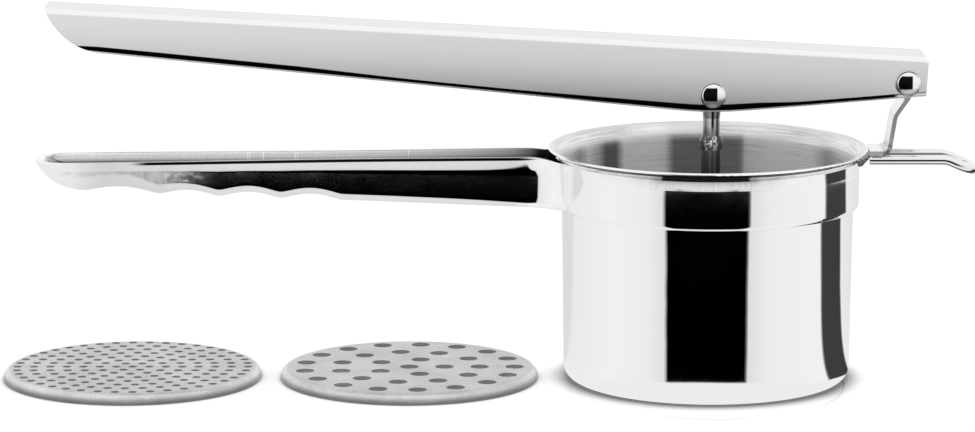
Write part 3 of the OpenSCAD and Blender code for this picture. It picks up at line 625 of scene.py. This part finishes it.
def floor_material():
    """White floor with the press's soft contact shadow and, close to it, a faint mirror image."""
    m, g = material("white_sweep")
    path = g.node("ShaderNodeLightPath")
    white = g.node("ShaderNodeEmission", {"Color": (1, 1, 1, 1)})
    shadow = crevice(g, 8.5, 0.37, 0.9)
    g.put(white.inputs["Strength"], g.math("MULTIPLY", shadow, 1.06))
    lit = g.node("ShaderNodeBsdfDiffuse", {"Color": (1, 1, 1, 1)})
    sheen = g.node("ShaderNodeBsdfGlossy", {"Color": (1, 1, 1, 1), "Roughness": 0.03})
    base = g.node("ShaderNodeMixShader", {0: 0.13})
    g.put(base.inputs[1], white.outputs[0])
    g.put(base.inputs[2], lit.outputs[0])
    mirrored = g.mixf(crevice(g, 60.0, 0.75, 0.985), 0.15, 0.0)
    shiny = g.node("ShaderNodeMixShader", {0: mirrored})
    g.put(shiny.inputs[1], base.outputs[0])
    g.put(shiny.inputs[2], sheen.outputs[0])

    # What the steel sees of the floor: white, with a black card in front of the press
    # and a dark card to its right
    pos = g.node("ShaderNodeNewGeometry").outputs["Position"]
    x, y, _ = g.xyz(pos)
    dx = g.math("SUBTRACT", x, CARD_APEX[0] * MM)
    dy = g.math("SUBTRACT", y, CARD_APEX[1] * MM)
    azimuth = g.math("ARCTAN2", dx, g.math("MULTIPLY", dy, -1.0))
    turn = g.math("MULTIPLY_ADD", azimuth, 0.5 / math.pi, 0.5)
    reach = g.vmath("LENGTH", g.join(dx, dy, 0.0))

    def at(degrees):
        return degrees / 360 + 0.5

    around = g.ramp(turn, [(at(a), v) for a, v in (
        (-179, 222), (-134, 225), (-128, 240), (-80, 248), (-50, 243),
        *zip(BLACK_CARD, (230, 0, 0, 228)), (45, 242), (60, 246),
        *zip(DARK_CARD, (248, 62, 62, 240)), (179, 222),
    )])
    near = g.step(reach, *(v * MM for v in CARD_NEAR))
    far = g.step(reach, *(v * MM for v in CARD_FAR))
    cards = g.mix(g.math("MULTIPLY", near, far), grey(244), around)
    seen = g.node("ShaderNodeEmission", {"Color": cards})
    # Painted shade: the floor as other surfaces see it is darker where things are close, as under
    # the discs
    open_floor = crevice(g, 4.0, 0.1, 0.7)
    g.put(seen.inputs["Strength"], g.math("MAXIMUM", open_floor, path.outputs["Is Glossy Ray"]))
    pick = g.node("ShaderNodeMixShader", {0: path.outputs["Is Camera Ray"]})
    g.put(pick.inputs[1], seen.outputs[0])
    g.put(pick.inputs[2], shiny.outputs[0])
    out = g.node("ShaderNodeOutputMaterial")
    g.put(out.inputs["Surface"], pick.outputs[0])
    return m


# ---------------------------------------------------------------- lower handle

def ease(t):
    t = min(max(t, 0.0), 1.0)
    return t * t * (3 - 2 * t)


def mix(a, b, t):
    return a + (b - a) * t


def handle_top(x):
    """Height of the rim."""
    return mix(RIM_END - RIM_CLIMB, RIM_END, (x - TIP) / (END - TIP))


def bow(x, inset):
    """Share of the width at x, which closes to a point at the rounded tip."""
    run = (9.0 - (x - TIP)) / (9.0 - 0.9 * inset)
    return 1.0 if run <= 0 else math.sqrt(max(0.0, 1 - run * run))


def plain_half_w(x):
    if x < WAIST_X:
        return mix(20.0, 16.6, ease((x - GRIP_X) / (WAIST_X - GRIP_X))) / 2
    return mix(16.6, 18.4, ease((x - WAIST_X) / (FILLET_X - WAIST_X))) / 2


def groove(x):
    """Height of the four scalloped finger grooves in the keel."""
    def hollow(turn):
        if not 0 < turn < 1:
            return 0.0
        soft = 0.03
        return (math.sqrt(math.sin(math.pi * turn) ** 2 + soft) - math.sqrt(soft)) / (
            math.sqrt(1 + soft) - math.sqrt(soft))
    at = x - GRIP_X
    ends = zip(GROOVE_ENDS, GROOVE_ENDS[1:])
    return GROOVE_DEPTH * max(hollow((at - a) / (b - a)) for a, b in ends)


def keel_line(x):
    return mix(handle_top(GRIP_X) - 9.0, COLLAR_LOW + 0.05, (x - GRIP_X) / (END - GRIP_X))


def keel_z(x, inset):
    rise = (GRIP_X - x) / (14.8 - 2 * inset)
    if rise <= 0:
        return keel_line(x) + groove(x) + inset
    return mix(keel_line(GRIP_X) + inset, handle_top(x), min(rise, 0.998) ** 2.2)


def half_profile(x, inset):
    """From under the rounded rim down to the keel's middle: (y, z) pairs."""
    w = bow(x, inset) * (plain_half_w(x) - inset)
    top = handle_top(x)
    keel = keel_z(x, inset)
    depth = top - keel
    roll = bow(x, inset)
    roll_h = min(mix(3.0, 4.3, min(max((x + 133) / 78, -0.2), 1)), depth / 2)
    start = min(0.45, depth / 5) / roll_h
    root = ease((x + 75) / 30)
    corner = mix(mix(5.2, 2.2, ease((x - TIP - 20) / 30)), 1.7, root)
    r = max(0.02, min(corner - 0.75 * inset, 0.9 * (depth - roll_h), 0.9 * (w - roll)))
    pts = []
    for i in range(11):
        s = (1 - start) * (1 - i / 10)
        pts.append((w - roll + roll * s ** 1.2, top - roll_h * (1 - s)))
    side_z = top - roll_h
    for i in range(1, 6):
        pts.append((w - roll, mix(side_z, keel + r, i / 6)))
    for i in range(15):
        a = math.radians(90 * i / 14)
        pts.append((w - roll - r + r * math.cos(a), keel + r - r * math.sin(a)))
    for i in range(1, 7):
        pts.append(((w - roll - r) * (1 - i / 6), keel))
    return pts


def collar_r(z):
    """Radius just outside the collar, or outside the hopper's flare above it."""
    if z < COLLAR_LOW + SHOULDER_R:
        drop = COLLAR_LOW + SHOULDER_R - z
        return COLLAR_OUT - SHOULDER_R + math.sqrt(max(0.0, SHOULDER_R ** 2 - drop ** 2)) + 0.03
    if z < COLLAR_FLARE_Z:
        return COLLAR_OUT + 0.03
    if z < COLLAR_TOP:
        drop = math.sqrt(COLLAR_FLARE_R ** 2 - (z - COLLAR_FLARE_Z) ** 2)
        return COLLAR_OUT + COLLAR_FLARE_R - drop + 0.03
    return max(44.78, FLARE_CX - math.sqrt(FLARE_R ** 2 - (z - FLARE_Z) ** 2) + 0.04)


def handle_sections():
    """Sheet cross-sections from the tip to the collar: each a list of points (x, y, z) from the
    outer keel's middle round one rim to the inner keel's middle, for the side y > 0."""
    inner_start = 0.05 + WALL
    runs = [0.05 + 14.0 * (1 - math.cos(math.pi / 2 * i / 26)) for i in range(26)]
    first = runs[-1]
    runs += [first + (FILLET_X - TIP - first) * i / 150 for i in range(1, 151)]
    sections = []

    def ring(x, xi, bend=None):
        outer = half_profile(x, 0.0)
        inner = half_profile(xi, WALL)
        loop = [(x, y, z) for y, z in reversed(outer)]
        (y0, z0), (y1, z1) = outer[0], inner[0]
        top = max(handle_top(x), z0)
        for i in range(1, 8):
            a = math.pi * i / 8
            c = (1 - math.cos(a)) / 2
            loop.append((mix(x, xi, c), mix(y0, y1, c), mix(z0, z1, c) + (top - z0) * math.sin(a)))
        loop += [(xi, y, z) for y, z in inner]
        return loop if bend is None else [bend(*p) for p in loop]

    for run in runs:
        inner = run if run > 30 else mix(inner_start, 30.0, (run - 0.05) / 29.95)
        sections.append(ring(TIP + run, TIP + inner))
    half = plain_half_w(FILLET_X)
    steps = 22
    for i in range(1, steps + 1):
        t = i / steps
        line_x = mix(FILLET_X, FILLET_END_X, t)
        spread = FILLET_Y - math.sqrt(FILLET_R ** 2 - (line_x - FILLET_X) ** 2)
        wide_end = FILLET_Y - math.sqrt(FILLET_R ** 2 - (FILLET_END_X - FILLET_X) ** 2)

        def bend(_, y, z):
            share = y / half
            z -= 1.25 * ease(t) * ease((z - COLLAR_TOP + 2.5) / 3)
            at_end = -math.sqrt((collar_r(z) - 0.05) ** 2 - (share * wide_end) ** 2)
            return (mix(FILLET_X, at_end, t), share * spread, z)
        sections.append(ring(line_x, line_x, bend))
    return sections


def build_handle():
    sections = handle_sections()
    count = len(sections[0])
    outer_n = len(half_profile(-120.0, 0.0)) + 7
    verts, faces, inside = [], [], []
    index = {}

    def vert(i, k, side):
        x, y, z = sections[i][k]
        y = 0.0 if k in (0, count - 1) else y * side
        key = (i, k, side if y else 0)
        if key not in index:
            index[key] = len(verts)
            verts.append((x * MM, y * MM, z * MM))
        return index[key]

    def face(vs, inner):
        faces.append(vs)
        inside.append(inner)

    for i in range(len(sections) - 1):
        for k in range(count - 1):
            for side in (1, -1):
                quad = [vert(i, k, side), vert(i + 1, k, side),
                        vert(i + 1, k + 1, side), vert(i, k + 1, side)]
                face(quad if side > 0 else quad[::-1], k >= outer_n - 1)
    # Tip, closed straight across
    for k in range(count - 1):
        a, b = vert(0, k, 1), vert(0, k + 1, 1)
        c, d = vert(0, k + 1, -1), vert(0, k, -1)
        loop = [a, b, c, d]
        face([v for j, v in enumerate(loop) if v != loop[j - 1]], k >= outer_n - 1)
    # Root, closed between the sheet's two faces
    last = len(sections) - 1
    n = outer_n - 7
    for side in (1, -1):
        for k in range(n - 1):
            quad = [vert(last, k, side), vert(last, count - 1 - k, side),
                    vert(last, count - 2 - k, side), vert(last, k + 1, side)]
            face(quad if side > 0 else quad[::-1], False)
        rim = [vert(last, k, side) for k in range(n - 1, n + 8)]
        face(rim[::-1] if side > 0 else rim, False)
    mesh = bpy.data.meshes.new("lower_handle_sheet")
    mesh.from_pydata(verts, [], faces)
    mesh.validate()
    ob = bpy.data.objects.new("lower_handle_sheet", mesh)
    bpy.context.scene.collection.objects.link(ob)
    mesh.materials.append(handle_steel())
    mesh.materials.append(handle_inside_steel())
    for f, inner in zip(mesh.polygons, inside):
        f.use_smooth = True
        f.material_index = 1 if inner else 0
    mesh.set_sharp_from_angle(angle=math.radians(40))
    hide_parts("lower_handle")
    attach(ob, "press")
    return ob


# ---------------------------------------------------------------- stage

def build_stage():
    size = 3.0
    mesh = bpy.data.meshes.new("floor")
    mesh.from_pydata([(-size, -size, 0), (size, -size, 0), (size, size, 0), (-size, size, 0)],
                     [], [(0, 1, 2, 3)])
    floor = bpy.data.objects.new("floor", mesh)
    bpy.context.scene.collection.objects.link(floor)
    mesh.materials.append(floor_material())

    world = bpy.data.worlds.new("studio")
    bpy.context.scene.world = world
    world.use_nodes = True
    g = Graph(world.node_tree)
    bg = g.node("ShaderNodeBackground", {"Color": (1, 1, 1, 1), "Strength": 1.0})
    out = g.node("ShaderNodeOutputWorld")
    g.put(out.inputs["Surface"], bg.outputs[0])


def build_camera():
    data = bpy.data.cameras.new("camera")
    data.lens = CAMERA_LENS
    data.sensor_fit = "HORIZONTAL"
    data.sensor_width = SENSOR
    data.clip_start = 0.01
    cam = bpy.data.objects.new("camera", data)
    cam.location = CAMERA_AT
    cam.rotation_euler = (math.radians(90 - CAMERA_DOWN), 0, 0)
    bpy.context.scene.collection.objects.link(cam)
    bpy.context.scene.camera = cam


def dress():
    """Give every CAD node its finish; the welds share one."""
    disc = disc_steel()
    weld = weld_steel()
    rod = rod_steel()
    rivet = rivet_steel()
    looks = {
        "hopper": hopper_steel(), "collar_ring": collar_steel(), "lower_handle": mirror_steel(),
        "hinge_bracket": strap_steel(), "bowl_hook": wire_steel(), "hinge_rivet": rivet,
        "plunger_rivet": rivet, "plunger_eye": rod, "plunger_stem": rod,
        "stem_weld": bead_steel(), "lever": lever_steel(), "plunger_plate": satin_steel(),
        "fine_disc": disc, "coarse_disc": disc,
    }
    for name, ob in nodes.items():
        look = looks.get(name, weld)
        if not ob.material_slots:
            ob.data.materials.append(look)
        for s in ob.material_slots:
            s.material = look
    # The discs leave no mirror image in the press
    for name in ("fine_disc", "coarse_disc"):
        nodes[name].visible_glossy = False


build_camera()
build_stage()
dress()
build_handle()

bpy.context.scene.view_settings.view_transform = "Standard"
